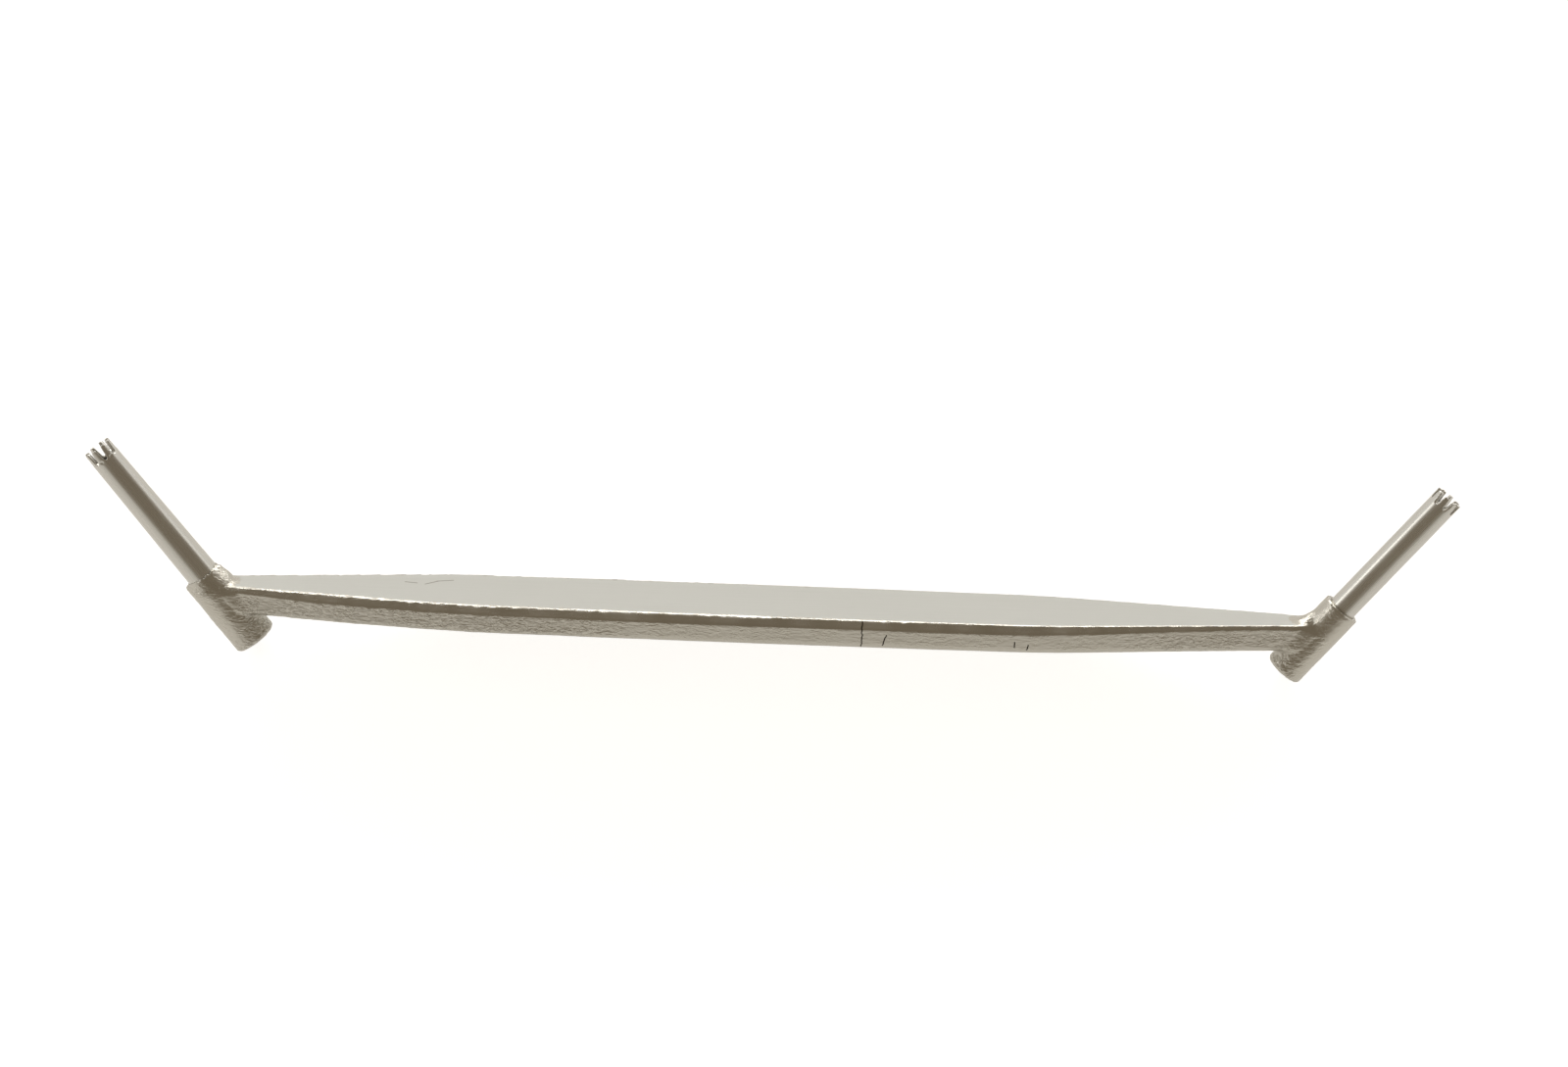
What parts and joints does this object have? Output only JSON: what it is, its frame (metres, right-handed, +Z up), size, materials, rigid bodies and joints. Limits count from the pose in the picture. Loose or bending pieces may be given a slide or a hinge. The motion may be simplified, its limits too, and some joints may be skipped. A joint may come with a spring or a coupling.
{
  "type": "drill guide",
  "caption": "Double-ended surgical drill guide: a flat cast handle with an angled, toothed guide tube seated in a boss at each end, lying on its side.",
  "frame": {"origin": "middle of the footprint, on the surface that the tool lies on", "axes": "+X along the handle towards the small tube, +Y across the table towards the tubes' tips, +Z up; the handle is tipped on its side"},
  "size_m": [0.1768, 0.0238, 0.0202],
  "materials": {
    "cast_steel": "as-cast stainless steel, ground flat on top",
    "tube_steel": "drawn stainless steel, satin"
  },
  "bodies": {
    "root": {"handle": "cast_steel", "large_guide_tube": "tube_steel", "small_guide_tube": "tube_steel"}
  },
  "joints": []
}
